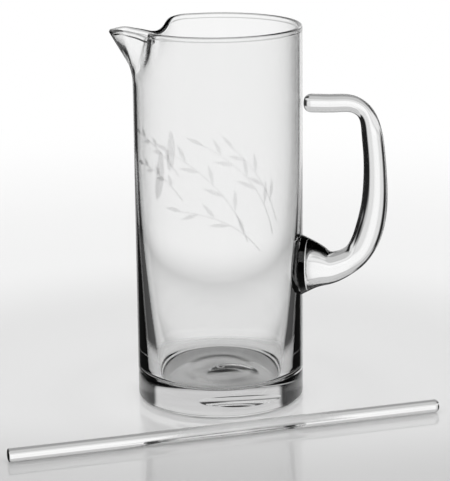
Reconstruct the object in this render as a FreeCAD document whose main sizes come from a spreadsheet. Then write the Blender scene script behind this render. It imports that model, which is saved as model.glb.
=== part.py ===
"""Glass cocktail pitcher: a blown body with a pulled spout, an applied cane handle and a stirring rod.

Millimetres, +Z up. The origin is the centre of the foot, on the surface that the pitcher stands on.
The spout points along -X and the handle along +X. The rod lies on the same surface.
"""

import FreeCAD
import Part
import Sketcher

import math
import os

from FreeCAD import Placement, Rotation, Vector

# Driving dimensions: alias, value in mm (angles in degrees), meaning.
SIZES = [
    ("body_radius", 51.0, "outside radius of the glass cylinder"),
    ("body_height", 230.5, "height of the round part of the rim"),
    ("wall", 2.2, "thickness of the wall"),
    ("floor_height", 14.5, "thickness of the solid glass under the floor"),
    ("taper_height", 160.0, "height below which the wall grows thicker"),
    ("taper_radius", 1083.0, "radius of that slow thickening, in section"),
    ("corner_radius", 5.0, "radius between the thickened wall and the floor"),
    ("foot_rounding", 3.4, "rounding of the outer bottom edge"),
    ("pip_radius", 2.6, "half width of the glass pip in the middle of the floor"),
    ("pip_height", 0.9, "height of that pip"),
    ("pontil_radius", 17.0, "radius of the ground hollow under the base"),
    ("pontil_depth", 1.2, "depth of that hollow"),
    ("pontil_offset", 8.0, "how far the hollow sits from the axis"),
    ("spout_depth", 35.5, "height over which the spout grows out of the wall"),
    ("spout_bend", 10.9, "height over which the wall turns outwards there"),
    ("spout_reach", 15.5, "how far the tip stands out from the wall"),
    ("spout_half_width", 8.6, "half the outside width of the spout's channel"),
    ("spout_span", 54.0, "half the angle of rim that the spout is drawn from"),
    ("pinch_depth", 12.6, "how far the rim beside the channel is pinched in"),
    ("tip_drop", 4.6, "how far the tip lies below the rim"),
    ("channel_drop", 3.1, "how far the channel's lips lie below the rim"),
    ("pinch_drop", 5.6, "how far the rim dips at the pinched corners"),
    ("arm_height", 184.3, "height of the handle's upper arm"),
    ("root_height", 84.2, "height of the handle's root"),
    ("grip_reach", 45.0, "from the wall to the middle of the grip"),
    ("arm_diameter", 11.2, "thickness of the upper arm"),
    ("grip_diameter", 13.7, "thickness of the grip"),
    ("root_length", 37.4, "height of the root where it meets the wall"),
    ("root_width", 25.2, "width of the root where it meets the wall"),
    ("end_gap", 1.2, "gap between the handle's free end and the wall"),
    ("rod_diameter", 7.9, "thickness of the stirring rod"),
    ("rod_length", 264.8, "length of the stirring rod"),
    ("rod_cut_rounding", 0.8, "rounding of the rod's cut end"),
    ("rod_tip_rounding", 3.4, "rounding of the rod's melted end"),
    ("rod_clearance", 23.35, "gap between the lying rod and the wall"),
    ("rod_yaw", 27.36, "direction of the lying rod"),
    ("rod_shift", -19.2, "how far the rod's middle lies along its own line"),
]

doc = FreeCAD.newDocument("cocktail_pitcher")
sheet = doc.addObject("Spreadsheet::Sheet", "Dimensions")
for row, (alias, value, meaning) in enumerate(SIZES, start=1):
    sheet.set("A%d" % row, alias)
    sheet.set("B%d" % row, str(value))
    sheet.set("C%d" % row, meaning)
    sheet.setAlias("B%d" % row, alias)
doc.recompute()


def size(alias):
    """The value of one driving dimension."""
    return float(sheet.get(alias))


# ---------------------------------------------------------------- sketch helpers

# The sketcher's own numbers for the points of an edge and for the sketch's origin.
START, END, CENTRE = range(1, 4)
ROOT = (-1, START)


def origin_plane(body, role):
    """The body's own origin plane with this role."""
    return next(f for f in body.Origin.OriginFeatures if f.Role == role)


def new_sketch(body, name, role, offset=None):
    """A sketch on one of the body's origin planes, moved by an optional placement."""
    sketch = body.newObject("Sketcher::SketchObject", name)
    sketch.AttachmentSupport = [(origin_plane(body, role), "")]
    sketch.MapMode = "FlatFace"
    if offset is not None:
        sketch.AttachmentOffset = offset
    return sketch


def segment(sketch, start, end):
    """A straight edge between two (x, y) points of the sketch."""
    return sketch.addGeometry(Part.LineSegment(Vector(*start, 0), Vector(*end, 0)))


def arc(sketch, centre, radius, first, last):
    """An arc from angle first to angle last, in degrees, anticlockwise."""
    circle = Part.Circle(Vector(*centre, 0), Vector(0, 0, 1), radius)
    return sketch.addGeometry(Part.ArcOfCircle(circle, math.radians(first), math.radians(last)))


def join(sketch, first, first_end, second, second_end, kind="Coincident"):
    """Joins two edges at their ends, or joins them tangentially."""
    sketch.addConstraint(Sketcher.Constraint(kind, first, first_end, second, second_end))


def bind(sketch, constraint, name, formula):
    """Adds a dimension that follows the sheet."""
    index = sketch.addConstraint(constraint)
    sketch.renameConstraint(index, name)
    sketch.setExpression("Constraints." + name, formula)


def new_body(name):
    """A sub-part, named after its file."""
    body = doc.addObject("PartDesign::Body", name)
    body.Label = name
    return body


# ---------------------------------------------------------------- the blown body

LIP_STEPS = 10  # level steps from the start of the spout to the rim
LIP_LEAD = 8.0  # degrees of round wall that each lip curve starts on
CUT_MARGIN = 6.0  # how far the rim's cut reaches past the glass

# Stations where the rim turns in from the round wall towards the spout: shares of the span, of the
# pinch's depth and of its drop.
SHOULDER_STATIONS = [
    (0.88, 0.11, 0.04),
    (0.71, 0.39, 0.22),
    (0.58, 0.59, 0.63),
    (0.43, 0.71, 0.93),
]


def vessel_profile(body):
    """Half section of the round vessel, from the foot to where the spout starts."""
    outer = size("body_radius")
    inner = outer - size("wall")
    foot = size("foot_rounding")
    top = size("body_height") - size("spout_depth")
    taper_top, taper = size("taper_height"), size("taper_radius")
    floor, corner = size("floor_height"), size("corner_radius")
    slope = math.degrees(math.asin((taper_top - floor - corner) / (taper - corner)))
    corner_x = inner - taper + (taper - corner) * math.cos(math.radians(slope))
    pip, pip_top = size("pip_radius"), floor + size("pip_height")
    pip_sphere = (pip**2 + size("pip_height") ** 2) / (2 * size("pip_height"))
    pip_edge = math.degrees(math.asin((pip_sphere - size("pip_height")) / pip_sphere))

    sketch = new_sketch(body, "vessel_profile", "XZ_Plane")
    axis_edge = segment(sketch, (0, pip_top), (0, 0))
    base_edge = segment(sketch, (0, 0), (outer - foot, 0))
    foot_arc = arc(sketch, (outer - foot, foot), foot, -90, 0)
    outer_edge = segment(sketch, (outer, foot), (outer, top))
    top_edge = segment(sketch, (outer, top), (inner, top))
    inner_edge = segment(sketch, (inner, top), (inner, taper_top))
    taper_arc = arc(sketch, (inner - taper, taper_top), taper, -slope, 0)
    corner_arc = arc(sketch, (corner_x, floor + corner), corner, -90, -slope)
    floor_edge = segment(sketch, (corner_x, floor), (pip, floor))
    pip_arc = arc(sketch, (0, pip_top - pip_sphere), pip_sphere, pip_edge, 90)

    join(sketch, axis_edge, END, base_edge, START)
    join(sketch, base_edge, END, foot_arc, START, "Tangent")
    join(sketch, foot_arc, END, outer_edge, START, "Tangent")
    join(sketch, outer_edge, END, top_edge, START)
    join(sketch, top_edge, END, inner_edge, START)
    join(sketch, inner_edge, END, taper_arc, END, "Tangent")
    join(sketch, taper_arc, START, corner_arc, END, "Tangent")
    join(sketch, corner_arc, START, floor_edge, START, "Tangent")
    join(sketch, floor_edge, END, pip_arc, START)
    join(sketch, pip_arc, END, axis_edge, START)
    join(sketch, base_edge, START, *ROOT)
    for edge in (axis_edge, outer_edge, inner_edge):
        sketch.addConstraint(Sketcher.Constraint("Vertical", edge))
    for edge in (base_edge, top_edge, floor_edge):
        sketch.addConstraint(Sketcher.Constraint("Horizontal", edge))
    vertical_axis = -2
    sketch.addConstraint(Sketcher.Constraint("PointOnObject", pip_arc, CENTRE, vertical_axis))

    def across(name, edge, end, value, formula):
        bind(sketch, Sketcher.Constraint("DistanceX", *ROOT, edge, end, value), name, formula)

    def up(name, edge, end, value, formula):
        bind(sketch, Sketcher.Constraint("DistanceY", *ROOT, edge, end, value), name, formula)

    def radius(name, edge, value, formula):
        bind(sketch, Sketcher.Constraint("Radius", edge, value), name, formula)

    across("outside", outer_edge, START, outer, "Dimensions.body_radius")
    across("inside", inner_edge, START, inner, "Dimensions.body_radius - Dimensions.wall")
    across("pip_width", floor_edge, END, pip, "Dimensions.pip_radius")
    up("top", outer_edge, END, top, "Dimensions.body_height - Dimensions.spout_depth")
    up("taper_start", inner_edge, END, taper_top, "Dimensions.taper_height")
    up("floor", floor_edge, END, floor, "Dimensions.floor_height")
    up("pip_top", axis_edge, START, pip_top, "Dimensions.floor_height + Dimensions.pip_height")
    radius("foot", foot_arc, foot, "Dimensions.foot_rounding")
    radius("taper", taper_arc, taper, "Dimensions.taper_radius")
    radius("corner", corner_arc, corner, "Dimensions.corner_radius")
    return sketch


def swell(height):
    """Outward travel of the spout's wall at this height above its start: a bend, then a slope."""
    bend = size("spout_bend")
    return height**2 / (2 * bend) if height < bend else height - bend / 2


def lip_stations():
    """Half of the rim as it is drawn into a spout: (along, across, drop) from the axis.

    The first stations turn in from the round rim, the mouth is where the channel starts, and the
    last one is the tip. Each drop is how far the rim lies there below its round part.
    """
    radius, span = size("body_radius"), math.radians(size("spout_span"))
    pinch, width = size("pinch_depth"), size("spout_half_width")
    pinch_drop, channel_drop, tip_drop = size("pinch_drop"), size("channel_drop"), size("tip_drop")
    stations = []
    for turn, depth, drop in SHOULDER_STATIONS:
        distance = radius - depth * pinch
        angle = turn * span
        stations.append((distance * math.cos(angle), distance * math.sin(angle), drop * pinch_drop))
    mouth = radius - 0.75 * pinch
    run = radius + size("spout_reach") - mouth
    stations.append((mouth, 1.37 * width, pinch_drop))
    dip = pinch_drop - channel_drop
    stations.append((mouth + 0.18 * run, 1.15 * width, channel_drop + 0.6 * dip))
    stations.append((mouth + 0.42 * run, 1.03 * width, channel_drop + 0.2 * dip))
    stations.append((mouth + 0.62 * run, width, channel_drop))
    fall = tip_drop - channel_drop
    stations.append((mouth + 0.78 * run, 0.77 * width, channel_drop + 0.2 * fall))
    stations.append((mouth + 0.92 * run, 0.40 * width, channel_drop + 0.7 * fall))
    stations.append((mouth + run, 0.0, tip_drop))
    return stations


def lip_half(height):
    """The outside of a level section, from the round wall to the tip: shares and (along, across).

    Each station starts on the round wall, at the same share of the span as its share of the rim's
    length, and travels outwards with the swell, so that it passes the rim where the rim lies.
    The first points lie on the round wall, so that the drawn part leaves it smoothly.
    """
    radius, span = size("body_radius"), math.radians(size("spout_span"))
    stations = lip_stations()
    start = (radius * math.cos(span), radius * math.sin(span))
    run, lengths, before = 0.0, [], start
    for along, across, _ in stations:
        run += math.dist(before, (along, across))
        lengths.append(run)
        before = (along, across)
    shares, points = [], []
    for lead in (LIP_LEAD, LIP_LEAD / 2, 0.0):
        angle = span + math.radians(lead)
        shares.append(-math.radians(lead) * radius / run)
        points.append((radius * math.cos(angle), radius * math.sin(angle)))
    for (along, across, drop), length in zip(stations, lengths):
        angle = span * (1 - length / run)
        foot = (radius * math.cos(angle), radius * math.sin(angle))
        travel = swell(height) / swell(size("spout_depth") - drop)
        shares.append(length / run)
        points.append((foot[0] + travel * (along - foot[0]), foot[1] + travel * (across - foot[1])))
    return shares, points


def lip_curve(height, inset):
    """The drawn part of a level section, from +Y round the tip to -Y, as a spline."""
    shares, half = lip_half(height)
    points = [Vector(-x, y, 0) for x, y in half] + [Vector(-x, -y, 0) for x, y in reversed(half[:-1])]
    parameters = shares + [2 - share for share in reversed(shares[:-1])]
    curve = Part.BSplineCurve()
    curve.interpolate(Points=points, Parameters=parameters)
    if inset == 0:
        return curve
    moved = []
    for parameter, point in zip(parameters, points):
        direction = curve.tangent(parameter)[0]
        moved.append(point + Vector(-direction.y, direction.x, 0) * inset)
    shrink = (size("body_radius") - inset) / size("body_radius")
    moved[0] = points[0] * shrink
    moved[-1] = points[-1] * shrink
    inner = Part.BSplineCurve()
    inner.interpolate(Points=moved, Parameters=parameters)
    return inner


def lip_section(body, name, height, inset):
    """A level section through the spout: the round wall behind, the drawn lip in front."""
    level = size("body_height") - size("spout_depth") + height
    sketch = new_sketch(body, name, "XY_Plane", Placement(Vector(0, 0, level), Rotation()))
    sketch.setExpression(
        "AttachmentOffset.Base.z", "Dimensions.body_height - Dimensions.spout_depth + %.6f" % height
    )
    radius = size("body_radius") - inset
    limit = 180 - size("spout_span") - LIP_LEAD
    back = arc(sketch, (0, 0), radius, -limit, limit)
    if height == 0:
        front = arc(sketch, (0, 0), radius, limit, 360 - limit)
    else:
        front = sketch.addGeometry(lip_curve(height, inset))
    formula = "Dimensions.body_radius" if inset == 0 else "Dimensions.body_radius - Dimensions.wall"
    bind(sketch, Sketcher.Constraint("Radius", back, radius), "round_wall", formula)
    sketch.addConstraint(Sketcher.Constraint("Coincident", back, CENTRE, *ROOT))
    for edge in (back, front):
        sketch.addConstraint(Sketcher.Constraint("Block", edge))
    return sketch


def lip_loft(body, kind, name, inset):
    """A loft through the level sections of the spout: the solid glass, or its hollow."""
    step = size("spout_depth") / LIP_STEPS
    heights = [number * step for number in range(LIP_STEPS + 1)]
    sections = [
        lip_section(body, "%s_%d" % (name, number), height, inset)
        for number, height in enumerate(heights)
    ]
    loft = body.newObject(kind, name)
    loft.Profile = sections[0]
    loft.Sections = [(section, [""]) for section in sections[1:]]
    return loft


def rim_cut(body):
    """Side view of the glass that is missing above the spout, where its lips lie below the rim."""
    top = size("body_height")
    stations = sorted((along, drop) for along, _, drop in lip_stations())
    start = size("body_radius") * math.cos(math.radians(size("spout_span")))
    tip, tip_drop = stations[-1]
    end = tip + CUT_MARGIN
    lips = [(start, 0.0)] + stations + [(end, tip_drop)]
    curve = Part.BSplineCurve()
    curve.interpolate(Points=[Vector(-along, top - drop, 0) for along, drop in lips])
    sketch = new_sketch(body, "rim_cut", "XZ_Plane")
    edges = [
        sketch.addGeometry(curve),
        segment(sketch, (-end, top - tip_drop), (-end, top + CUT_MARGIN)),
        segment(sketch, (-end, top + CUT_MARGIN), (-start, top + CUT_MARGIN)),
        segment(sketch, (-start, top + CUT_MARGIN), (-start, top)),
    ]
    for edge, after in zip(edges, edges[1:] + edges[:1]):
        join(sketch, edge, END, after, START)
    for edge in edges:
        sketch.addConstraint(Sketcher.Constraint("Block", edge))
    return sketch


def make_pitcher_body():
    """The vessel: revolved below, lofted round the spout, ground hollow under the foot."""
    body = new_body("pitcher_body")
    profile = vessel_profile(body)
    vessel = body.newObject("PartDesign::Revolution", "vessel")
    vessel.Profile = profile
    vessel.ReferenceAxis = (profile, ["V_Axis"])
    vessel.Angle = 360
    doc.recompute()
    lip_loft(body, "PartDesign::AdditiveLoft", "lip_glass", 0.0)
    doc.recompute()
    lip_loft(body, "PartDesign::SubtractiveLoft", "lip_hollow", size("wall"))
    doc.recompute()
    dip = rim_cut(body)
    cut = body.newObject("PartDesign::Pocket", "rim_dip")
    cut.Profile = dip
    cut.Type = "ThroughAll"
    cut.SideType = "Symmetric"
    doc.recompute()
    hollow = body.newObject("PartDesign::SubtractiveSphere", "pontil_hollow")
    hollow.AttachmentSupport = [(origin_plane(body, "XY_Plane"), "")]
    hollow.MapMode = "FlatFace"
    sphere = "(Dimensions.pontil_radius^2 + Dimensions.pontil_depth^2) / (2 * Dimensions.pontil_depth)"
    hollow.setExpression("Radius", sphere)
    hollow.setExpression("AttachmentOffset.Base.x", "Dimensions.pontil_offset")
    hollow.setExpression("AttachmentOffset.Base.z", "Dimensions.pontil_depth - " + sphere)
    doc.recompute()
    return body


# ---------------------------------------------------------------- the applied handle

END_ROUNDING = 0.78  # rounding of the free end, as a share of its radius
CANE_OVAL = 0.98  # the cane's width over its depth

# Stations along the handle, from inside the wall to the free end: how far out, in shares of the
# reach, how far up, in shares of the rise from root to arm, then the depth and width of the cane
# there in shares of a named thickness.
ROOT_STATIONS = [
    (-0.10, 0.000, 1.20, 1.04),
    (0.00, 0.000, 1.00, 0.95),
    (0.09, 0.002, 0.89, 0.86),
    (0.21, -0.003, 0.745, 0.77),
    (0.36, -0.010, 0.575, 0.68),
]
GRIP_STATIONS = [
    (0.556, 0.017, 1.24),
    (0.711, 0.064, 1.14),
    (0.835, 0.145, 1.19),
    (0.922, 0.257, 1.24),
    (0.969, 0.371, 1.17),
    (0.985, 0.520, 1.06),
    (0.968, 0.703, 0.965),
    (0.932, 0.834, 0.90),
]
ARM_STATIONS = [
    (0.830, 0.957, 0.885),
    (0.649, 1.002, 0.93),
    (0.489, 1.003, 0.98),
    (0.302, 1.000, 0.99),
]


def handle_stations():
    """Centre (out from the axis, height), half depth and half width of the cane at each station."""
    radius, reach = size("body_radius"), size("grip_reach")
    root, rise = size("root_height"), size("arm_height") - size("root_height")
    length, width = size("root_length") / 2, size("root_width") / 2
    grip, arm = size("grip_diameter") / 2, size("arm_diameter") / 2
    stations = []
    for out, up, depth, across in ROOT_STATIONS:
        stations.append((radius + out * reach, root + up * rise, depth * length, across * width))
    for table, thickness in ((GRIP_STATIONS, grip), (ARM_STATIONS, arm)):
        for out, up, depth in table:
            half = depth * thickness
            stations.append((radius + out * reach, root + up * rise, half, half * CANE_OVAL))
    tip = radius + size("end_gap")
    stations.append((tip + 1.2 * arm, size("arm_height"), arm, arm))
    stations.append((tip, size("arm_height"), arm, arm))
    return stations


def station_slope(stations, number):
    """Direction of the path at one station, in degrees above +X."""
    before = stations[max(number - 1, 0)]
    after = stations[min(number + 1, len(stations) - 1)]
    if number == 0:
        return 0.0
    if number == len(stations) - 1:
        return 180.0
    return math.degrees(math.atan2(after[1] - before[1], after[0] - before[0]))


def make_handle():
    """The cane: a loft along its path, cut back to the wall, its free end melted round."""
    body = new_body("handle")
    stations = handle_stations()
    sections = []
    for number, (out, up, depth, across) in enumerate(stations):
        slope = station_slope(stations, number)
        turn = Rotation(Vector(1, 0, 0), -slope)
        place = Placement(Vector(0, up, out), turn)
        sketch = new_sketch(body, "cane_%d" % number, "YZ_Plane", place)
        oval = Part.Ellipse(Vector(0, depth, 0), Vector(across, 0, 0), Vector(0, 0, 0))
        edge = sketch.addGeometry(oval)
        sketch.addConstraint(Sketcher.Constraint("Block", edge))
        sections.append(sketch)
    cane = body.newObject("PartDesign::AdditiveLoft", "cane")
    cane.Profile = sections[0]
    cane.Sections = [(sketch, [""]) for sketch in sections[1:]]
    doc.recompute()

    wall = body.newObject("PartDesign::SubtractiveCylinder", "wall_face")
    wall.AttachmentSupport = [(origin_plane(body, "XY_Plane"), "")]
    wall.MapMode = "FlatFace"
    wall.setExpression("Radius", "Dimensions.body_radius")
    wall.setExpression("Height", "Dimensions.body_height")
    doc.recompute()

    tip = size("body_radius") + size("end_gap")
    ends = [
        "Edge%d" % number
        for number, edge in enumerate(wall.Shape.Edges, start=1)
        if max(abs(vertex.X - tip) for vertex in edge.Vertexes) < 0.01
    ]
    melted = body.newObject("PartDesign::Fillet", "free_end")
    melted.Base = (wall, ends)
    melted.setExpression("Radius", "Dimensions.arm_diameter / 2 * %.2f" % END_ROUNDING)
    doc.recompute()
    return body


# ---------------------------------------------------------------- the stirring rod


def make_stirring_rod():
    """The rod: a straight cane along its own +X, cut at one end and melted round at the other."""
    body = new_body("stirring_rod")
    length, half = size("rod_length"), size("rod_diameter") / 2
    cut, melted = size("rod_cut_rounding"), size("rod_tip_rounding")
    sketch = new_sketch(body, "rod_profile", "XZ_Plane")
    axis = segment(sketch, (length / 2, 0), (-length / 2, 0))
    cut_face = segment(sketch, (-length / 2, 0), (-length / 2, half - cut))
    cut_arc = arc(sketch, (-length / 2 + cut, half - cut), cut, 90, 180)
    side = segment(sketch, (-length / 2 + cut, half), (length / 2 - melted, half))
    melted_arc = arc(sketch, (length / 2 - melted, half - melted), melted, 0, 90)
    melted_face = segment(sketch, (length / 2, half - melted), (length / 2, 0))
    join(sketch, axis, END, cut_face, START)
    join(sketch, cut_face, END, cut_arc, END, "Tangent")
    join(sketch, cut_arc, START, side, START, "Tangent")
    join(sketch, side, END, melted_arc, END, "Tangent")
    join(sketch, melted_arc, START, melted_face, START, "Tangent")
    join(sketch, melted_face, END, axis, START)
    for edge in (cut_face, melted_face):
        sketch.addConstraint(Sketcher.Constraint("Vertical", edge))
    for edge in (axis, side):
        sketch.addConstraint(Sketcher.Constraint("Horizontal", edge))
    sketch.addConstraint(Sketcher.Constraint("Symmetric", axis, START, axis, END, *ROOT))
    bind(sketch, Sketcher.Constraint("Distance", axis, length), "length", "Dimensions.rod_length")
    half_thickness = Sketcher.Constraint("DistanceY", *ROOT, side, START, half)
    bind(sketch, half_thickness, "half_thickness", "Dimensions.rod_diameter / 2")
    bind(sketch, Sketcher.Constraint("Radius", cut_arc, cut), "cut_end", "Dimensions.rod_cut_rounding")
    melted_radius = Sketcher.Constraint("Radius", melted_arc, melted)
    bind(sketch, melted_radius, "melted_end", "Dimensions.rod_tip_rounding")
    rod = body.newObject("PartDesign::Revolution", "rod")
    rod.Profile = sketch
    rod.ReferenceAxis = (sketch, ["H_Axis"])
    rod.Angle = 360

    away = "(Dimensions.body_radius + Dimensions.rod_clearance + Dimensions.rod_diameter / 2)"
    turned = "%s * %s(Dimensions.rod_yaw) %s Dimensions.rod_shift * %s(Dimensions.rod_yaw)"
    body.Placement = Placement(Vector(), Rotation(Vector(0, 0, 1), 1))
    body.setExpression("Placement.Rotation.Angle", "Dimensions.rod_yaw")
    body.setExpression("Placement.Base.x", turned % (away, "sin", "+", "cos"))
    body.setExpression("Placement.Base.y", turned % ("-" + away, "cos", "+", "sin"))
    body.setExpression("Placement.Base.z", "Dimensions.rod_diameter / 2")
    doc.recompute()
    return body


# ---------------------------------------------------------------- build, check and write

parts = [make_pitcher_body(), make_handle(), make_stirring_rod()]
doc.recompute()
for item in doc.Objects:
    if "Invalid" in item.State or "Error" in item.State:
        raise SystemExit("%s failed: %s" % (item.Name, item.State))
for part in parts:
    shape = part.Shape
    if shape.isNull() or not shape.isValid() or len(shape.Solids) != 1:
        raise SystemExit("%s has no single valid solid" % part.Label)
    print("%-14s %9.0f mm3" % (part.Label, shape.Volume))

shared = parts[0].Shape.common(parts[1].Shape).Volume
if shared > 0.01:
    raise SystemExit("the handle runs %.3f mm3 into the body" % shared)

os.makedirs("parts", exist_ok=True)
for part in parts:
    part.Shape.exportStep(os.path.join("parts", part.Label + ".step"))
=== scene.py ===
import math

import bpy
import numpy as np
from mathutils import Matrix, Vector


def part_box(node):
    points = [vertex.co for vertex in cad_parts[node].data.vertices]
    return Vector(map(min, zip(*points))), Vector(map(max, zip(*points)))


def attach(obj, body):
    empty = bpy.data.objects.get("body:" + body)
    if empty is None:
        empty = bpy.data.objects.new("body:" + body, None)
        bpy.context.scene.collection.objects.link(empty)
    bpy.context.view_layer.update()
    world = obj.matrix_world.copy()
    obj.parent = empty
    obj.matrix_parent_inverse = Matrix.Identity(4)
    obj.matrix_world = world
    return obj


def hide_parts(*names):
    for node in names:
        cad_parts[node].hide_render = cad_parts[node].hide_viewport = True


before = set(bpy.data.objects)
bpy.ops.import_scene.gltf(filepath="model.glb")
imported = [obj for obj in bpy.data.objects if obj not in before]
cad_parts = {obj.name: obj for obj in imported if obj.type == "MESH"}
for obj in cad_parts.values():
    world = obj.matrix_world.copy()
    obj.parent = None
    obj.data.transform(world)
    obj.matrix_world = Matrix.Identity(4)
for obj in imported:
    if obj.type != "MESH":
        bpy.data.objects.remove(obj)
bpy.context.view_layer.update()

MM = 0.001

# ---------------------------------------------------------------- sizes, in millimetres

body_low, body_high = (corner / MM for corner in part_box("pitcher_body"))
RADIUS = body_high.x  # outside of the glass cylinder
HEIGHT = body_high.z  # top of the rim
SPOUT_REACH = -body_low.x - RADIUS  # how far the tip stands out from the wall
WALL = 2.2
FOOT_ROUNDING = 3.4

FLOOR_HEIGHT = 14.5
TAPER_HEIGHT = 160.0  # below it the wall grows thicker
TAPER_RADIUS = 1083.0
CORNER_RADIUS = 5.0
PIP_RADIUS, PIP_HEIGHT = 2.6, 0.9
PONTIL_RADIUS, PONTIL_DEPTH, PONTIL_OFFSET = 17.0, 1.2, 8.0

SPOUT_DEPTH = 35.5
SPOUT_BEND = 10.9
SPOUT_SPAN = math.radians(54)
SPOUT_HALF_WIDTH = 8.6
PINCH_DEPTH = 12.6
TIP_DROP, CHANNEL_DROP, PINCH_DROP = 4.6, 3.1, 5.6
BEAD_BULGE = 0.28  # half of how far the fire-polished rim swells inwards from the wall
BEAD_HEIGHT, BEAD_FADE = 3.6, 1.4  # how far down the swelling reaches, and over what it ends
FLOOR_RING_RADIUS, FLOOR_RING_WIDTH, FLOOR_RING_RISE = 21.0, 3.2, 0.30
FLOOR_HUMP_WIDTH, FLOOR_HUMP_RISE = 11.0, 0.55

ARM_HEIGHT, ROOT_HEIGHT = 184.3, 84.2
GRIP_REACH = 45.0
ARM_RADIUS, GRIP_RADIUS = 5.6, 6.85
ROOT_HALF_LENGTH, ROOT_HALF_WIDTH = 18.7, 12.5
END_GAP = 1.2
END_ROUNDING = 0.78  # of the free end's radius
CANE_OVAL = 0.98

ROD_LENGTH = 264.8
ROD_CLEARANCE, ROD_SHIFT = 23.35, -19.2  # from the vessel's wall, and along itself
ROD_YAW = math.radians(27.36)
ROD_CUT_ROUNDING, ROD_TIP_ROUNDING = 0.8, 3.4


# ---------------------------------------------------------------- curves and meshes


def smooth(knots, values, at):
    """A natural cubic spline through values at knots, read at the given places."""
    knots, values, at = np.array(knots, float), np.array(values, float), np.array(at, float)
    count = len(knots)
    step = np.diff(knots)
    matrix, right = np.eye(count), np.zeros(count)
    for i in range(1, count - 1):
        matrix[i, i - 1 : i + 2] = step[i - 1], 2 * (step[i - 1] + step[i]), step[i]
        right[i] = 6 * (
            (values[i + 1] - values[i]) / step[i] - (values[i] - values[i - 1]) / step[i - 1]
        )
    bend = np.linalg.solve(matrix, right)
    i = np.clip(np.searchsorted(knots, at) - 1, 0, count - 2)
    left, width = at - knots[i], step[i]
    rest = width - left
    return (
        (bend[i] * rest**3 + bend[i + 1] * left**3) / (6 * width)
        + (values[i] / width - bend[i] * width / 6) * rest
        + (values[i + 1] / width - bend[i + 1] * width / 6) * left
    )


def smoothstep(value):
    value = np.clip(value, 0.0, 1.0)
    return value * value * (3 - 2 * value)


def unit(vectors):
    return vectors / np.linalg.norm(vectors, axis=-1, keepdims=True)


def new_piece(name, points, faces, body, materials, face_slots=None, rounded=True):
    """A mesh from points in millimetres, smooth or flat shaded, riding on a CAD body."""
    mesh = bpy.data.meshes.new(name)
    mesh.from_pydata([tuple(point) for point in np.asarray(points) * MM], [], faces)
    for material in materials:
        mesh.materials.append(material)
    mesh.polygons.foreach_set("use_smooth", [rounded] * len(mesh.polygons))
    if face_slots is not None:
        mesh.polygons.foreach_set("material_index", face_slots)
    mesh.validate()
    mesh.update()
    piece = bpy.data.objects.new(name, mesh)
    bpy.context.scene.collection.objects.link(piece)
    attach(piece, body)
    return piece


def tube_faces(rows, columns, first_pole, last_pole):
    """Faces of a closed skin of rings, from a pole before the first ring to one after the last.

    Ring r's point c is number r * columns + c. The rings run anticlockwise about the way from the
    first pole to the last, so the faces look outwards.
    """
    faces = []
    for c in range(columns):
        faces.append((first_pole, (c + 1) % columns, c))
    for r in range(rows - 1):
        for c in range(columns):
            here, across = r * columns + c, r * columns + (c + 1) % columns
            faces.append((here, across, across + columns, here + columns))
    last = (rows - 1) * columns
    for c in range(columns):
        faces.append((last + c, last + (c + 1) % columns, last_pole))
    return faces


# ---------------------------------------------------------------- materials

GLASS_IOR = 1.5
GLASS_TINT = (0.997, 0.998, 0.997, 1)
# Painted shade at the handle's root: the share of light that rays keep where the handle meets the
# wall.
PAINTED_ROOT_SHADE_TONE = 0.12
FROST_ROUGHNESS, FROST_TONE = 0.24, 0.99


def clear_glass(name, ripple_scale, ripple, stretch):
    """Clear fire-polished glass whose skin is a little uneven, as hand work leaves it."""
    material = bpy.data.materials.new(name)
    material.use_nodes = True
    nodes, links = material.node_tree.nodes, material.node_tree.links
    shader = nodes["Principled BSDF"]
    shader.inputs["Base Color"].default_value = GLASS_TINT
    shader.inputs["Roughness"].default_value = 0.0
    shader.inputs["IOR"].default_value = GLASS_IOR
    shader.inputs["Transmission Weight"].default_value = 1.0
    place = nodes.new("ShaderNodeTexCoord")
    scale = nodes.new("ShaderNodeMapping")
    scale.inputs["Scale"].default_value = stretch
    noise = nodes.new("ShaderNodeTexNoise")
    noise.inputs["Scale"].default_value = ripple_scale
    noise.inputs["Detail"].default_value = 1.0
    bump = nodes.new("ShaderNodeBump")
    bump.inputs["Strength"].default_value = 1.0
    bump.inputs["Distance"].default_value = ripple
    links.new(place.outputs["Object"], scale.inputs["Vector"])
    links.new(scale.outputs["Vector"], noise.inputs["Vector"])
    links.new(noise.outputs["Fac"], bump.inputs["Height"])
    links.new(bump.outputs["Normal"], shader.inputs["Normal"])
    return material


def painted_root_shade_material():
    """Where two pieces of hot glass became one, rays go straight on, darkened by painted shade at
    the handle's root.
    """
    material = bpy.data.materials.new("painted_root_shade")
    material.use_nodes = True
    nodes, links = material.node_tree.nodes, material.node_tree.links
    nodes.remove(nodes["Principled BSDF"])
    shader = nodes.new("ShaderNodeBsdfTransparent")
    shader.inputs["Color"].default_value = (PAINTED_ROOT_SHADE_TONE, PAINTED_ROOT_SHADE_TONE, PAINTED_ROOT_SHADE_TONE, 1)
    links.new(shader.outputs["BSDF"], nodes["Material Output"].inputs["Surface"])
    return material


def cut_glass():
    """Glass whose skin a cutting wheel has left frosted."""
    material = bpy.data.materials.new("engraved_glass")
    material.use_nodes = True
    shader = material.node_tree.nodes["Principled BSDF"]
    shader.inputs["Base Color"].default_value = (FROST_TONE, FROST_TONE, FROST_TONE, 1)
    shader.inputs["Roughness"].default_value = FROST_ROUGHNESS
    shader.inputs["IOR"].default_value = GLASS_IOR
    shader.inputs["Transmission Weight"].default_value = 1.0
    return material


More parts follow.
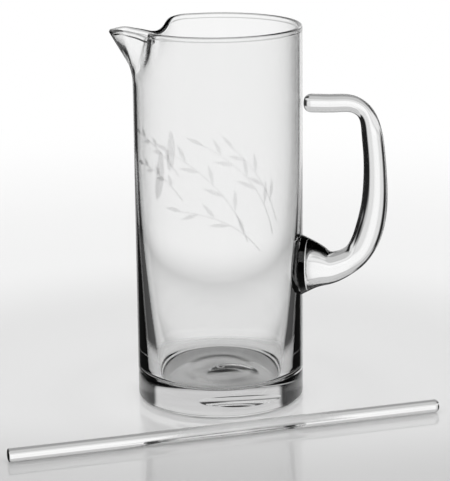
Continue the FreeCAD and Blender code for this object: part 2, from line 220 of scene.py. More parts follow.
# Name, the ripple's scale, its height in metres, and its stretch along each axis.
body_glass = clear_glass("body_glass", 60.0, 0.00002, (1, 1, 0.35))
cane_glass = clear_glass("cane_glass", 90.0, 0.00004, (1, 1, 0.2))
rod_glass = clear_glass("rod_glass", 60.0, 0.00001, (1, 1, 1))
painted_root_shade = painted_root_shade_material()
engraved = cut_glass()

# ---------------------------------------------------------------- the blown body


def swell(height):
    """Outward travel of the spout's wall at this height above its start: a bend, then a slope."""
    return np.where(height < SPOUT_BEND, height**2 / (2 * SPOUT_BEND), height - SPOUT_BEND / 2)


def lip_stations():
    """Half of the drawn rim, from the round wall to the spout's tip: (along, across, drop)."""
    stations = []
    for turn, depth, drop in (
        (0.88, 0.11, 0.04),
        (0.71, 0.39, 0.22),
        (0.58, 0.59, 0.63),
        (0.43, 0.71, 0.93),
    ):
        distance, angle = RADIUS - depth * PINCH_DEPTH, turn * SPOUT_SPAN
        stations.append((distance * math.cos(angle), distance * math.sin(angle), drop * PINCH_DROP))
    mouth = RADIUS - 0.75 * PINCH_DEPTH
    run = RADIUS + SPOUT_REACH - mouth
    dip, fall = PINCH_DROP - CHANNEL_DROP, TIP_DROP - CHANNEL_DROP
    stations += [
        (mouth, 1.37 * SPOUT_HALF_WIDTH, PINCH_DROP),
        (mouth + 0.18 * run, 1.15 * SPOUT_HALF_WIDTH, CHANNEL_DROP + 0.6 * dip),
        (mouth + 0.42 * run, 1.03 * SPOUT_HALF_WIDTH, CHANNEL_DROP + 0.2 * dip),
        (mouth + 0.62 * run, SPOUT_HALF_WIDTH, CHANNEL_DROP),
        (mouth + 0.78 * run, 0.77 * SPOUT_HALF_WIDTH, CHANNEL_DROP + 0.2 * fall),
        (mouth + 0.92 * run, 0.40 * SPOUT_HALF_WIDTH, CHANNEL_DROP + 0.7 * fall),
        (mouth + run, 0.0, TIP_DROP),
    ]
    return stations


WELD_ACROSS, WELD_UP = 16, 24  # mesh faces across and up the handle's footprint
LIP_COLUMNS = 170
ROUND_COLUMNS = 60  # on each side, between the footprint's surroundings and the lip
block = ROOT_HALF_WIDTH / RADIUS  # half the footprint's angle

# Angles of the mesh's columns about the axis, from +X (the handle), anticlockwise, with the
# footprint in the middle of the first and last few. Those of the lip are stated by its share.
shares = np.linspace(0, 2, LIP_COLUMNS + 1)
near = np.linspace(0, 2 * block, WELD_ACROSS + 1)
side = np.linspace(2 * block, math.pi - SPOUT_SPAN, ROUND_COLUMNS + 1)[1:-1]
lip = math.pi - SPOUT_SPAN * (1 - shares)
angles = np.concatenate([near, side, lip, 2 * math.pi - side[::-1], 2 * math.pi - near[:0:-1]])
COLUMNS = len(angles)
share = (angles - (math.pi - SPOUT_SPAN)) / SPOUT_SPAN

stations = lip_stations()
lip_start = (RADIUS * math.cos(SPOUT_SPAN), RADIUS * math.sin(SPOUT_SPAN))
lengths = np.cumsum(
    [math.dist(a[:2], b[:2]) for a, b in zip([lip_start] + stations, stations)]
)
knots = list(lengths / lengths[-1])
push_out, push_side, drops = [], [], []
for knot, (along, across, drop) in zip(knots, stations):
    angle = SPOUT_SPAN * (1 - knot)
    push_out.append(along - RADIUS * math.cos(angle))
    push_side.append(across - RADIUS * math.sin(angle))
    drops.append(drop)
# The second half mirrors the first, and the wall on both sides of the lip stays round.
lead = [-0.3, -0.15, 0.0]
all_knots = lead + knots + [2 - k for k in knots[-2::-1]] + [2 - k for k in lead[::-1]]
still = [0.0] * len(lead)
all_out = still + push_out + push_out[-2::-1] + still
all_side = still + push_side + [-s for s in push_side[-2::-1]] + still
all_drops = still + drops + drops[-2::-1] + still
drawn = (share > lead[0]) & (share < 2 - lead[0])
rim_out = np.where(drawn, smooth(all_knots, all_out, share), 0.0)
rim_side = np.where(drawn, smooth(all_knots, all_side, share), 0.0)
rim_drop = np.where(drawn, np.maximum(smooth(all_knots, all_drops, share), 0), 0.0)

SPOUT_START = HEIGHT - SPOUT_DEPTH
foot = np.stack([RADIUS * np.cos(angles), RADIUS * np.sin(angles)], axis=1)
push = np.stack([-rim_out, rim_side], axis=1)


def wall_ring(level):
    """Outside of the wall, at a share of the way from the spout's start (0) to the rim (1)."""
    full = SPOUT_DEPTH - rim_drop
    height = level * full
    travel = (swell(height) / swell(full))[:, None]
    return np.column_stack([foot + travel * push, SPOUT_START + height])


def round_ring(radius, height, centre=0.0):
    return np.column_stack(
        [centre + radius * np.cos(angles), radius * np.sin(angles), np.full(COLUMNS, height)]
    )


def foot_rings():
    """Rings of the ground hollow, the flat foot and its rounded edge, from the middle outwards."""
    rings = []
    sphere = (PONTIL_RADIUS**2 + PONTIL_DEPTH**2) / (2 * PONTIL_DEPTH)
    for radius in np.linspace(0.1, 1, 14) * PONTIL_RADIUS:
        height = PONTIL_DEPTH - sphere + math.sqrt(sphere**2 - radius**2)
        rings.append(round_ring(radius, height, PONTIL_OFFSET))
    flat = RADIUS - FOOT_ROUNDING
    # the hollow lies off the axis, and the rings of the flat foot shift back to it
    for t in (0.01, 0.15, 0.35, 0.55, 0.75, 0.9, 0.985):
        radius = PONTIL_RADIUS + t * (flat - PONTIL_RADIUS)
        rings.append(round_ring(radius, 0.0, PONTIL_OFFSET * (1 - t)))
    for turn in np.linspace(0, math.pi / 2, 10):
        rings.append(
            round_ring(flat + FOOT_ROUNDING * math.sin(turn), FOOT_ROUNDING * (1 - math.cos(turn)))
        )
    return rings


# The body's rings run from the middle of its underside up its outside and down inside.
rings = foot_rings()
weld_low, weld_high = ROOT_HEIGHT - 2 * ROOT_HALF_LENGTH, ROOT_HEIGHT + 2 * ROOT_HALF_LENGTH
for height in np.linspace(FOOT_ROUNDING, weld_low, 26)[1:-1]:
    rings.append(round_ring(RADIUS, height))
weld_row = len(rings)
for height in np.linspace(weld_low, weld_high, 2 * WELD_UP + 1):
    rings.append(round_ring(RADIUS, height))
for height in np.linspace(weld_high, SPOUT_START, 40)[1:-1]:
    rings.append(round_ring(RADIUS, height))

# The drawn wall, with its normals, then the swollen rim and the same wall again inside. The wall's
# last levels give way to the rim.
RIM_LEVELS = 11
levels = np.concatenate([np.linspace(0, 0.86, 40), np.linspace(0.86, 1, 30)[1:]])
outside = np.stack([wall_ring(level) for level in levels])
along_wall = np.gradient(outside, axis=0)
round_wall = np.roll(outside, -1, axis=1) - np.roll(outside, 1, axis=1)
normals = unit(np.cross(round_wall, along_wall))
rise = unit(along_wall[-1])
bulge = BEAD_BULGE * (1 + np.clip(rim_drop / PINCH_DROP, 0, 1))  # thicker where the rim is drawn
bead = (WALL / 2 + bulge)[:, None]
under_rim = (1 - levels)[:, None] * (SPOUT_DEPTH - rim_drop)[None, :]
swelling = bulge * smoothstep((BEAD_HEIGHT - under_rim) / BEAD_FADE)
used = len(levels) - RIM_LEVELS
for row in range(used):
    rings.append(outside[row])
middle = outside[-1] - bead * normals[-1] - bead * rise
for turn in np.linspace(0, math.pi, 17):
    rings.append(middle + bead * (math.cos(turn) * normals[-1] + math.sin(turn) * rise))
for row in range(used - 1, -1, -1):
    rings.append(outside[row] - (WALL + 2 * swelling[row])[:, None] * normals[row])

# The inside below the spout: straight, slowly thicker, a round corner, the uneven floor.
inner = RADIUS - WALL
for height in np.linspace(SPOUT_START, TAPER_HEIGHT, 20)[1:]:
    rings.append(round_ring(inner, height))
slope = math.asin((TAPER_HEIGHT - FLOOR_HEIGHT - CORNER_RADIUS) / (TAPER_RADIUS - CORNER_RADIUS))
for turn in np.linspace(0, slope, 60)[1:]:
    radius = inner - TAPER_RADIUS * (1 - math.cos(turn))
    rings.append(round_ring(radius, TAPER_HEIGHT - TAPER_RADIUS * math.sin(turn)))
corner = inner - TAPER_RADIUS + (TAPER_RADIUS - CORNER_RADIUS) * math.cos(slope)
for turn in np.linspace(slope, math.pi / 2, 18)[1:]:
    rings.append(
        round_ring(
            corner + CORNER_RADIUS * math.cos(turn),
            FLOOR_HEIGHT + CORNER_RADIUS * (1 - math.sin(turn)),
        )
    )


def floor_height(radius):
    """The inside floor's height: a low ring and a hump in the glass, and the pip."""
    ripple = FLOOR_RING_RISE * math.exp(-(((radius - FLOOR_RING_RADIUS) / FLOOR_RING_WIDTH) ** 2))
    hump = FLOOR_HUMP_RISE * math.exp(-((radius / FLOOR_HUMP_WIDTH) ** 2))
    pip = PIP_HEIGHT * max(0.0, 1 - (radius / PIP_RADIUS) ** 2)
    return FLOOR_HEIGHT + ripple + hump + pip


for radius in np.concatenate([np.linspace(corner, 3.2, 34)[1:], np.linspace(3.0, 0.25, 10)]):
    rings.append(round_ring(radius, floor_height(radius)))

# The footprint: the middle half of a block of faces around the handle's root is bent into its oval.
weld_columns = [c % COLUMNS for c in range(-WELD_ACROSS, WELD_ACROSS + 1)]
WELD_LEFT, WELD_RIGHT = WELD_ACROSS // 2, 3 * WELD_ACROSS // 2  # of the block's columns
WELD_BOTTOM, WELD_TOP = WELD_UP // 2, 3 * WELD_UP // 2  # and of its rows


def bend_to_oval(u, v):
    """A point, in half footprints from the middle, moved so that the square at 1 is an oval."""
    square = max(abs(u), abs(v))
    if square in (0.0, 2.0) or square > 2:
        return u, v
    circle = square / math.hypot(u, v)
    keep = max(0.0, square - 1)
    scale = keep + (1 - keep) * circle
    return u * scale, v * scale


def block_place(i, j):
    """Where the block's point in column i and row j stands, in half footprints from the middle."""
    return bend_to_oval(2 * i / WELD_ACROSS - 2, 2 * j / WELD_UP - 2)


def on_wall(i, j):
    """The same point on the vessel's wall, in millimetres."""
    u, v = block_place(i, j)
    turn = u * block
    return RADIUS * math.cos(turn), RADIUS * math.sin(turn), ROOT_HEIGHT + v * ROOT_HALF_LENGTH


points = np.concatenate(rings)
for i, c in enumerate(weld_columns):
    for j in range(2 * WELD_UP + 1):
        points[(weld_row + j) * COLUMNS + c] = on_wall(i, j)

first_pole, last_pole = len(points), len(points) + 1
points = np.vstack([points, (PONTIL_OFFSET, 0, PONTIL_DEPTH), (0, 0, floor_height(0.0))])
faces = tube_faces(len(rings), COLUMNS, first_pole, last_pole)
inside_weld = {
    (weld_row + j) * COLUMNS + weld_columns[i]
    for i in range(WELD_LEFT, WELD_RIGHT)
    for j in range(WELD_BOTTOM, WELD_TOP)
}
# The faces of the footprint take the painted shade of the handle's root.
slots = [1 if len(face) == 4 and face[0] in inside_weld else 0 for face in faces]
vessel = new_piece(
    "blown_vessel", points, faces, "pitcher", [body_glass, painted_root_shade], slots
)
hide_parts("pitcher_body")

# ---------------------------------------------------------------- the applied handle

# Stations from the wall to the free end: how far out, in shares of the reach, how far up, in shares
# of the rise, then the cane's half depth and, at the root, half width, in shares of a named size.
ROOT_STATIONS = [
    (0.00, 0.000, 1.00, 1.00),
    (0.09, 0.002, 0.89, 0.87),
    (0.21, -0.003, 0.745, 0.77),
    (0.36, -0.010, 0.575, 0.68),
]
GRIP_STATIONS = [
    (0.556, 0.017, 1.24),
    (0.711, 0.064, 1.14),
    (0.835, 0.145, 1.19),
    (0.922, 0.257, 1.24),
    (0.969, 0.371, 1.17),
    (0.985, 0.520, 1.06),
    (0.968, 0.703, 0.965),
    (0.932, 0.834, 0.90),
]
ARM_STATIONS = [
    (0.830, 0.957, 0.885),
    (0.649, 1.002, 0.93),
    (0.489, 1.003, 0.98),
    (0.302, 1.000, 0.99),
]
CANE_ROWS = 200
TURN_RUN = 20.0  # millimetres from the wall until the sections stand square to the path
WRAP_RUN = 9.0  # and until they no longer follow the wall's curve
LEVEL_END = 4.0  # before the last station but one, from where the sections stand upright
END_ROWS = 14


def section(out, up, half_depth, half_width):
    """A section of the cane, from its shares of the reach and the rise."""
    rise_up = ARM_HEIGHT - ROOT_HEIGHT
    return RADIUS + out * GRIP_REACH, ROOT_HEIGHT + up * rise_up, half_depth, half_width


cane = [
    section(out, up, depth * ROOT_HALF_LENGTH, across * ROOT_HALF_WIDTH)
    for out, up, depth, across in ROOT_STATIONS
]
for table, thickness in ((GRIP_STATIONS, GRIP_RADIUS), (ARM_STATIONS, ARM_RADIUS)):
    for out, up, depth in table:
        half = depth * thickness
        cane.append(section(out, up, half, half * CANE_OVAL))
tip = RADIUS + END_GAP
end_rounding = END_ROUNDING * ARM_RADIUS
cane.append((tip + 1.2 * ARM_RADIUS, ARM_HEIGHT, ARM_RADIUS, ARM_RADIUS))
cane.append((tip + end_rounding, ARM_HEIGHT, ARM_RADIUS, ARM_RADIUS))

cane = np.array(cane)
runs = np.concatenate([[0], np.cumsum(np.hypot(*np.diff(cane[:, :2], axis=0).T))])
where = np.linspace(0, runs[-1], CANE_ROWS)
path_out, path_up, path_depth, path_width = (smooth(runs, cane[:, k], where) for k in range(4))
heading = np.arctan2(np.gradient(path_up), np.gradient(path_out))
heading *= smoothstep(where / TURN_RUN)
heading = np.where(where > runs[-2] - LEVEL_END, math.pi, heading)

# Round the footprint's edge, anticlockwise as seen from outside.
around = [(i, WELD_BOTTOM) for i in range(WELD_LEFT, WELD_RIGHT)]
around += [(WELD_RIGHT, j) for j in range(WELD_BOTTOM, WELD_TOP)]
around += [(i, WELD_TOP) for i in range(WELD_RIGHT, WELD_LEFT, -1)]
around += [(WELD_LEFT, j) for j in range(WELD_TOP, WELD_BOTTOM, -1)]
oval = np.array([block_place(i, j) for i, j in around])


def end_ring(x, radius):
    """A ring of the free end, where the cane has turned over."""
    return np.column_stack(
        [np.full(len(oval), x), oval[:, 0] * radius, ARM_HEIGHT - oval[:, 1] * radius]
    )


cane_rings = []
for out, up, depth, width, turn, place in zip(
    path_out, path_up, path_depth, path_width, heading, where
):
    across, deep = oval[:, 0] * width, oval[:, 1] * depth
    wrap = 1 - smoothstep(place / WRAP_RUN)
    curved = RADIUS * np.column_stack([np.cos(across / RADIUS), np.sin(across / RADIUS)])
    x = out - deep * math.sin(turn) + wrap * (curved[:, 0] - RADIUS)
    y = (1 - wrap) * across + wrap * curved[:, 1]
    z = up + deep * math.cos(turn)
    cane_rings.append(np.column_stack([x, y, z]))
for turn in np.linspace(0, math.pi / 2, END_ROWS)[1:]:
    x = tip + end_rounding * (1 - math.sin(turn))
    cane_rings.append(end_ring(x, ARM_RADIUS - end_rounding * (1 - math.cos(turn))))
for part in (0.7, 0.4):
    cane_rings.append(end_ring(tip, (ARM_RADIUS - end_rounding) * part))

columns, rows = len(oval), len(cane_rings)
cane_points = list(np.concatenate(cane_rings))
faces = []
for r in range(rows - 1):
    for c in range(columns):
        here, across = r * columns + c, r * columns + (c + 1) % columns
        faces.append((here, across, across + columns, here + columns))
pole = len(cane_points)
cane_points.append((tip, 0.0, ARM_HEIGHT))
last = (rows - 1) * columns
for c in range(columns):
    faces.append((last + c, last + (c + 1) % columns, pole))
glass_faces = len(faces)
# the welded end, with the same points as the footprint on the wall
numbers = {place: c for c, place in enumerate(around)}
for i in range(WELD_LEFT, WELD_RIGHT + 1):
    for j in range(WELD_BOTTOM, WELD_TOP + 1):
        if (i, j) not in numbers:
            numbers[i, j] = len(cane_points)
            cane_points.append(on_wall(i, j))
for i in range(WELD_LEFT, WELD_RIGHT):
    for j in range(WELD_BOTTOM, WELD_TOP):
        faces.append((numbers[i, j], numbers[i, j + 1], numbers[i + 1, j + 1], numbers[i + 1, j]))
# The welded end's faces take the painted shade of the handle's root.
slots = [0] * glass_faces + [1] * (len(faces) - glass_faces)
handle = new_piece(
    "cane_handle", cane_points, faces, "pitcher", [cane_glass, painted_root_shade], slots
)
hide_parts("handle")

# ---------------------------------------------------------------- the engraving

# Sprays of slender leaves, cut into the front wall. They are laid out on the unrolled wall: arc
# from FRONT, to the right, and height, in millimetres.
FRONT = math.radians(-80)
CUT_LOW, CUT_HIGH = 0.02, 0.05  # from the wall to the underside and the top of the frosted skin
STEM_HALF_WIDTH, STEM_STEPS, STEM_COLUMNS = 0.36, 39, 2
LEAF_STEPS, LEAF_COLUMNS, BROAD_COLUMNS = 12, 4, 8
LEAF_ENDS = 0.04  # half width that is left at both ends of a leaf
LEAF_BEND = math.radians(14)
LEAF_LEAN = math.radians(30)  # from the stem
LEAF_GAP = 0.7  # between stem and leaf
FIRST_LEAF, LAST_LEAF = 0.28, 0.98  # share of the stem
# Start, end, how far the stem bows to its left, number of leaves, their length and half width.
STEMS = [
    ((25.0, 102.5), (-24.0, 127.0), -7.0, 5, 14.0, 1.15),
    ((34.0, 112.0), (-10.0, 168.0), -8.5, 6, 14.5, 1.15),
    ((17.0, 109.0), (-32.0, 163.0), -8.5, 6, 14.5, 1.15),
    ((37.0, 119.0), (8.0, 166.0), -4.0, 5, 13.5, 1.05),
    ((-22.0, 134.0), (-55.0, 152.0), -4.0, 6, 7.5, 1.25),
    ((-24.0, 148.0), (-58.0, 170.0), -4.0, 6, 7.5, 1.25),
]
# Middle, length, half width and lean of the two broad leaves.
BROAD = [((-30.0, 163.0), 24.0, 2.6, 87.0), ((-39.0, 147.0), 30.0, 3.0, 83.0)]
cut_points, cut_faces = [], []


def cut(spine, half_widths, columns):
    """A closed frosted skin along a line on the wall, as wide as stated at each of its points."""
    spine = np.array(spine, float)
    side = unit(np.gradient(spine, axis=0)) @ np.array([[0, 1], [-1, 0]])
    first, width = len(cut_points), columns + 1
    for lift in (CUT_LOW, CUT_HIGH):
        for place, aside, half in zip(spine, side, half_widths):
            for share in np.linspace(-1, 1, width):
                arc, height = place + share * half * aside
                turn = FRONT + arc / RADIUS
                reach = RADIUS + lift
                cut_points.append((reach * math.cos(turn), reach * math.sin(turn), height))
    layer = len(spine) * width
    for r in range(len(spine) - 1):
        for c in range(columns):
            a = first + r * width + c
            b, d = a + width, a + layer
            cut_faces.append((a, a + 1, b + 1, b))
            cut_faces.append((d, d + width, d + width + 1, d + 1))
        for c, flip in ((0, -1), (columns, 1)):
            a = first + r * width + c
            cut_faces.append((a, a + layer, a + layer + width, a + width)[::flip])
    for r, flip in ((0, 1), (len(spine) - 1, -1)):
        for c in range(columns):
            a = first + r * width + c
            cut_faces.append((a, a + layer, a + layer + 1, a + 1)[::flip])


def leaf(root, lean, length, half_width, columns, sharpness=1.2):
    """A leaf from its root, leaning by an angle from level, a little curved."""
    along = np.linspace(0, 1, LEAF_STEPS + 1)
    bend = lean + LEAF_BEND * (along - 0.5)
    step = length / LEAF_STEPS * np.column_stack([np.cos(bend), np.sin(bend)])
    spine = np.array(root) + np.vstack([[0, 0], np.cumsum(step[:-1], axis=0)])
    swelling = np.maximum(np.sin(math.pi * along**0.85), 0) ** sharpness
    cut(spine, LEAF_ENDS + half_width * swelling, columns)


for start, end, bow, leaves, length, half_width in STEMS:
    start, end = np.array(start), np.array(end)
    chord = end - start
    aside = np.array([-chord[1], chord[0]]) / np.linalg.norm(chord)
    along = np.linspace(0, 1, STEM_STEPS + 1)[:, None]
    spine = start + along * chord + bow * 4 * along * (1 - along) * aside
    cut(spine, STEM_HALF_WIDTH * (1.1 - 0.6 * along[:, 0]), STEM_COLUMNS)
    for number in range(leaves):
        place = FIRST_LEAF + (LAST_LEAF - FIRST_LEAF) * number / (leaves - 1)
        at = min(int(place * STEM_STEPS), STEM_STEPS - 1)
        lean = math.atan2(*(spine[at + 1] - spine[at])[::-1])
        turn = LEAF_LEAN if number % 2 else -LEAF_LEAN
        if number == leaves - 1:
            turn *= 0.2  # the last leaf goes on almost as the stem does
        away = LEAF_GAP * np.array([math.cos(lean + turn), math.sin(lean + turn)])
        leaf(spine[at] + away, lean + turn, length * (1 - 0.25 * place), half_width, LEAF_COLUMNS)
for middle, length, half_width, lean in BROAD:
    lean = math.radians(lean)
    root = np.array(middle) - length / 2 * np.array([math.cos(lean), math.sin(lean)])
    leaf(root, lean, length, half_width, BROAD_COLUMNS, sharpness=0.5)
new_piece("engraving", cut_points, cut_faces, "pitcher", [engraved], rounded=False)

# ---------------------------------------------------------------- the stirring rod

rod_low, rod_high = (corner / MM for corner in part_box("stirring_rod"))
rod_radius = (rod_high.z - rod_low.z) / 2
away = RADIUS + ROD_CLEARANCE + rod_radius
rod_centre = Vector(
    (
        away * math.sin(ROD_YAW) + ROD_SHIFT * math.cos(ROD_YAW),
        -away * math.cos(ROD_YAW) + ROD_SHIFT * math.sin(ROD_YAW),
        rod_radius,
    )
)
profile = [(-ROD_LENGTH / 2, share * (rod_radius - ROD_CUT_ROUNDING)) for share in (0.3, 0.6, 0.9)]
for turn in np.linspace(0, math.pi / 2, 8):
    profile.append(
        (
            -ROD_LENGTH / 2 + ROD_CUT_ROUNDING * (1 - math.cos(turn)),
            rod_radius - ROD_CUT_ROUNDING * (1 - math.sin(turn)),
        )
    )
straight = np.linspace(-ROD_LENGTH / 2 + ROD_CUT_ROUNDING, ROD_LENGTH / 2 - ROD_TIP_ROUNDING, 90)
profile += [(along, rod_radius) for along in straight[1:]]
for turn in np.linspace(0, math.pi / 2, 14)[1:]:
    profile.append(
        (
            ROD_LENGTH / 2 - ROD_TIP_ROUNDING * (1 - math.sin(turn)),
            rod_radius - ROD_TIP_ROUNDING * (1 - math.cos(turn)),
        )
    )
ROD_COLUMNS = 64
turns = np.linspace(0, 2 * math.pi, ROD_COLUMNS, endpoint=False)
rod_points = []
for along, reach in profile:
    for turn in turns:
        rod_points.append((along, reach * math.cos(turn), reach * math.sin(turn)))
rod_points += [(-ROD_LENGTH / 2, 0, 0), (ROD_LENGTH / 2, 0, 0)]
lay = Matrix.Translation(rod_centre) @ Matrix.Rotation(ROD_YAW, 4, "Z")
rod_points = [lay @ Vector(point) for point in rod_points]
count = len(profile) * ROD_COLUMNS
rod = new_piece(
    "glass_rod",
    rod_points,
    tube_faces(len(profile), ROD_COLUMNS, count, count + 1),
    "rod",
    [rod_glass],
)
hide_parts("stirring_rod")

# ---------------------------------------------------------------- floor, light and camera


class Graph:
    """Short names for the few nodes that the floor and the world are made of."""

    def __init__(self, tree):
        self.tree = tree

    def feed(self, node, values):
        for socket, value in zip(node.inputs, values):
            if isinstance(value, bpy.types.NodeSocket):
                self.tree.links.new(value, socket)
            elif value is not None:
                socket.default_value = value
        return node.outputs[0]

    def math(self, operation, *values):
        node = self.tree.nodes.new("ShaderNodeMath")
        node.operation = operation
        return self.feed(node, values)

    def vector(self, operation, *values):
        node = self.tree.nodes.new("ShaderNodeVectorMath")
        node.operation = operation
        out = self.feed(node, values)
        return node.outputs["Value"] if operation in ("DOT_PRODUCT", "LENGTH") else out

    def soften(self, value, low, high):
        """0 below low, 1 above high, and smooth between them; the other way round if low > high."""
        node = self.tree.nodes.new("ShaderNodeMapRange")
        node.interpolation_type = "SMOOTHSTEP"
        start, end = float(low > high), float(low < high)
        return self.feed(node, (value, min(low, high), max(low, high), start, end))

    def sector(self, heading, centre, half_width, soft):
        """1 inside a sector of azimuths in degrees, for a level unit vector."""
        turn = math.radians(centre)
        ahead = self.vector("DOT_PRODUCT", heading, (math.cos(turn), math.sin(turn), 0))
        outer, inner = math.radians(half_width + soft), math.radians(max(0, half_width - soft))
        return self.soften(ahead, math.cos(outer), math.cos(inner))

    def opposite(self, value):
        return self.math("SUBTRACT", 1.0, value)

    def seen_by_glass(self, path):
        """1 for a ray that has left the camera and met no matt surface yet, or else 0."""
        bounced = self.opposite(path.outputs["Is Camera Ray"])
        not_matt = self.math("LESS_THAN", path.outputs["Diffuse Depth"], 0.5)
        return self.math("MULTIPLY", bounced, not_matt)

    def most(self, values):
        result = values[0]
        for value in values[1:]:
            result = self.math("MAXIMUM", result, value)
        return result


# What the glass sees of the studio: lit fields behind the pitcher for each side that it is looked
# at from, and dark between them. Middle azimuth, half width, soft edge, lowest and highest, soft
# ends, in degrees; how bright; and whether only rays that went straight through the glass see it,
# only those that were mirrored in it, or both.
THROUGH, MIRRORED, BOTH = 0, 1, 2
FIELDS = [
    (103, 12, 9, -21.8, 7, 3.5, 1.0, THROUGH),
    (102.5, 26.5, 4, -22, 7, 4, 0.78, THROUGH),
    (104.5, 31.5, 5, -28.5, -19, 4, 0.84, THROUGH),
    (71.5, 12.5, 5, -33, -24, 2, 0.76, THROUGH),
    (104, 22, 6, -48, -24, 5, 0.60, THROUGH),
    (92.5, 22, 5, -24, 6, 2, 0.85, MIRRORED),
    (120.5, 3.5, 3, -20, -13, 1, 0.55, MIRRORED),
    (100, 10, 5, -42, -22, 2, 0.60, MIRRORED),
    (77, 4, 3, -42, -20, 2, 0.25, MIRRORED),
    (121, 4, 3, -42, -20, 2, 0.25, MIRRORED),
    (96.7, 38.7, 3, 5, 21, 3, 0.63, BOTH),
    (96.7, 38.7, 3, 19, 58, 3, 0.63, THROUGH),
    (137, 22, 4, -33, -24, 3, 0.84, THROUGH),
    (135, 32, 4, 24, 33, 2, 0.63, BOTH),
    (180, 30, 4, -34, 12, 2, 1.0, THROUGH),
    (315, 28, 4, -38, 4, 2, 1.0, THROUGH),
    (315, 34, 4, 4, 22, 2, 0.63, BOTH),
    (0, 180, 0, -90, -46, 4, 0.38, THROUGH),
    (0, 180, 0, -90, -46, 4, 0.12, MIRRORED),
    (0, 180, 0, -90, 4, 3, 0.03, MIRRORED),
]
DARK = 0.010  # the unlit rest of the studio
DIM_BELOW = 0.09  # what is mirrored from below
BELOW = (-0.33, -0.38)  # sines of the elevations between which that begins
SHEEN_FROM, SHEEN_TO = (0.0, 0.03), (0.55, 0.45)  # and where the floor's sheen shows white

# Distances on the floor are in metres.
FLOOR_REACH = 8.0
FLOOR_GAP = 0.05  # millimetres under the foot, which touches the floor at a few points only
NEAR_FLOOR, NEAR_FADE = 0.075, 0.015  # from the axis; further out the glass sees no floor
FLOOR_SPAN = 2.0  # that the floor's painted light and shade are spread over
# Painted light on the floor by distance from the axis: painted shade around the pitcher, lighter
# again further out.
FLOOR_PAINTED_LIGHT = [(0.04, 1.0), (0.10, 0.83), (0.20, 0.775), (0.34, 0.91), (0.60, 0.95), (1.00, 1.0)]
WHITE_FROM = (0.45, 0.85)  # further out the floor is the white backdrop
FRONT_PAINTED_SHADE = 0.25  # painted shade: how much darker the floor is in front of the pitcher
# where that painted shade starts and reaches its full depth, in metres in front of the axis
FRONT_PAINTED_SHADE_RUN = (0.03, 0.16)
FLOOR_ROUGHNESS, FLOOR_IOR = 0.06, 1.6

# The floor: pale polished acrylic with painted light on it, as painted shade around the pitcher and
# in front of it, lighter further out.
# Rays that leave the glass meet it near the foot only, and otherwise go on to the fields of the
# world.
mesh = bpy.data.meshes.new("floor")
corners = [(-1, -1), (1, -1), (1, 1), (-1, 1)]
mesh.from_pydata(
    [(x * FLOOR_REACH, y * FLOOR_REACH, -FLOOR_GAP * MM) for x, y in corners], [], [(0, 1, 2, 3)]
)
floor = bpy.data.objects.new("floor", mesh)
bpy.context.scene.collection.objects.link(floor)
material = bpy.data.materials.new("pale_floor")
material.use_nodes = True
mesh.materials.append(material)
graph = Graph(material.node_tree)
nodes, links = material.node_tree.nodes, material.node_tree.links
position = nodes.new("ShaderNodeNewGeometry").outputs["Position"]
distance = graph.vector("LENGTH", position)
path = nodes.new("ShaderNodeLightPath")
near_foot = graph.soften(distance, NEAR_FLOOR + NEAR_FADE, NEAR_FLOOR)
unseen = graph.math("MULTIPLY", graph.seen_by_glass(path), graph.opposite(near_foot))
ramp = nodes.new("ShaderNodeValToRGB")
ramp.color_ramp.interpolation = "EASE"
while len(ramp.color_ramp.elements) < len(FLOOR_PAINTED_LIGHT):
    ramp.color_ramp.elements.new(0.5)
for element, (place, tone) in zip(ramp.color_ramp.elements, FLOOR_PAINTED_LIGHT):
    element.position = place / FLOOR_SPAN
    element.color = (tone, tone, tone, 1)
links.new(graph.math("DIVIDE", distance, FLOOR_SPAN), ramp.inputs["Fac"])
# Painted shade in front of the pitcher, laid over the floor's painted light.
in_front = graph.vector("DOT_PRODUCT", position, (math.cos(FRONT), math.sin(FRONT), 0))
painted_front_shade = graph.math("MULTIPLY", graph.soften(in_front, *FRONT_PAINTED_SHADE_RUN), FRONT_PAINTED_SHADE)
painted_floor_light = graph.vector("SCALE", ramp.outputs["Color"])
links.new(graph.opposite(painted_front_shade), painted_floor_light.node.inputs["Scale"])
acrylic = nodes["Principled BSDF"]
links.new(painted_floor_light, acrylic.inputs["Base Color"])
acrylic.inputs["Roughness"].default_value = FLOOR_ROUGHNESS
acrylic.inputs["IOR"].default_value = FLOOR_IOR
clear = nodes.new("ShaderNodeBsdfTransparent")
floor_or_clear = nodes.new("ShaderNodeMixShader")
links.new(unseen, floor_or_clear.inputs[0])
links.new(acrylic.outputs["BSDF"], floor_or_clear.inputs[1])
links.new(clear.outputs["BSDF"], floor_or_clear.inputs[2])
white = nodes.new("ShaderNodeEmission")
whitened = nodes.new("ShaderNodeMixShader")
far = graph.math("MULTIPLY", path.outputs["Is Camera Ray"], graph.soften(distance, *WHITE_FROM))
links.new(far, whitened.inputs[0])
links.new(floor_or_clear.outputs["Shader"], whitened.inputs[1])
links.new(white.outputs["Emission"], whitened.inputs[2])
links.new(whitened.outputs["Shader"], nodes["Material Output"].inputs["Surface"])

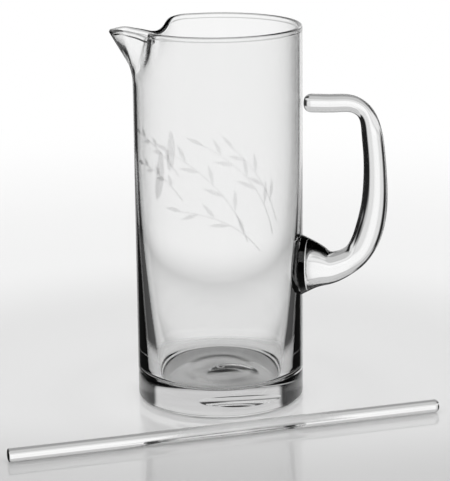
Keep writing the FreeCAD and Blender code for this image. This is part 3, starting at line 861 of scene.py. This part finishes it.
# The world: even white light for the floor, white to the camera, and the fields for the glass.
world = bpy.data.worlds.new("studio")
bpy.context.scene.world = world
world.use_nodes = True
graph = Graph(world.node_tree)
nodes, links = world.node_tree.nodes, world.node_tree.links
direction = nodes.new("ShaderNodeTexCoord").outputs["Generated"]
height = graph.vector("DOT_PRODUCT", direction, (0, 0, 1))
level = graph.vector("NORMALIZE", graph.vector("MULTIPLY", direction, (1, 1, 0)))
path = nodes.new("ShaderNodeLightPath")
mirrored = graph.math("GREATER_THAN", path.outputs["Glossy Depth"], 0.5)
through = graph.opposite(mirrored)
fields = []
for centre, half_width, soft, lowest, highest, fade, strength, seen in FIELDS:
    bottom, top, fade = math.radians(lowest), math.radians(highest), math.radians(fade)
    field = graph.soften(height, math.sin(top + fade), math.sin(top - fade))
    if lowest > -90:
        over_bottom = graph.soften(height, math.sin(bottom - fade), math.sin(bottom + fade))
        field = graph.math("MULTIPLY", field, over_bottom)
    if half_width < 180:
        field = graph.math("MULTIPLY", field, graph.sector(level, centre, half_width, soft))
    if seen != BOTH:
        field = graph.math("MULTIPLY", field, mirrored if seen == MIRRORED else through)
    fields.append(graph.math("MULTIPLY", field, strength))
from_below = graph.math("MULTIPLY", mirrored, graph.soften(height, *BELOW))
fields.append(graph.math("MULTIPLY", from_below, DIM_BELOW))
lit = graph.math("MAXIMUM", graph.most(fields), DARK)
# What is mirrored in the skin of the glass or in the floor before any glass is passed shows the
# backdrop at full white.
outside_glass = graph.math("LESS_THAN", path.outputs["Transmission Depth"], 0.5)
sheen = graph.math("MULTIPLY", path.outputs["Is Reflection Ray"], outside_glass)
for limits in (SHEEN_FROM, SHEEN_TO):
    sheen = graph.math("MULTIPLY", sheen, graph.soften(height, *limits))
lit = graph.math("MAXIMUM", lit, sheen)
shade = graph.math("MULTIPLY", graph.seen_by_glass(path), graph.opposite(lit))
links.new(graph.opposite(shade), nodes["Background"].inputs["Strength"])
nodes["Background"].inputs["Color"].default_value = (1, 1, 1, 1)

bpy.context.scene.view_settings.view_transform = "Standard"

# The camera, solved from the outlines in the photograph.
CAMERA_DISTANCE = 1262.5  # millimetres from the pitcher's axis, level
CAMERA_HEIGHT = 422.5
CAMERA_TURN = math.radians(10)  # from straight in front, towards the handle's side
CAMERA_PITCH = math.radians(14.433)
CAMERA_YAW = math.radians(0.158)  # the axis stands a little left of the picture's middle
CAMERA_ROLL = math.radians(-0.607)
SENSOR, LENS = 36.0, 159.56

camera = bpy.data.objects.new("camera", bpy.data.cameras.new("camera"))
bpy.context.scene.collection.objects.link(camera)
camera.data.sensor_fit = "VERTICAL"
camera.data.sensor_height = SENSOR
camera.data.lens = LENS
camera.data.clip_end = 50
ahead = Vector(
    (
        math.sin(CAMERA_YAW) * math.cos(CAMERA_PITCH),
        math.cos(CAMERA_YAW) * math.cos(CAMERA_PITCH),
        -math.sin(CAMERA_PITCH),
    )
)
right = Vector((math.cos(CAMERA_YAW), -math.sin(CAMERA_YAW), 0))
upwards = right.cross(ahead)
rolled_right = right * math.cos(CAMERA_ROLL) + upwards * math.sin(CAMERA_ROLL)
rolled_up = upwards * math.cos(CAMERA_ROLL) - right * math.sin(CAMERA_ROLL)
axes = Matrix((rolled_right, rolled_up, -ahead)).transposed().to_4x4()
stand = Matrix.Translation(Vector((0, -CAMERA_DISTANCE, CAMERA_HEIGHT)) * MM)
camera.matrix_world = Matrix.Rotation(CAMERA_TURN, 4, "Z") @ stand @ axes
bpy.context.scene.camera = camera
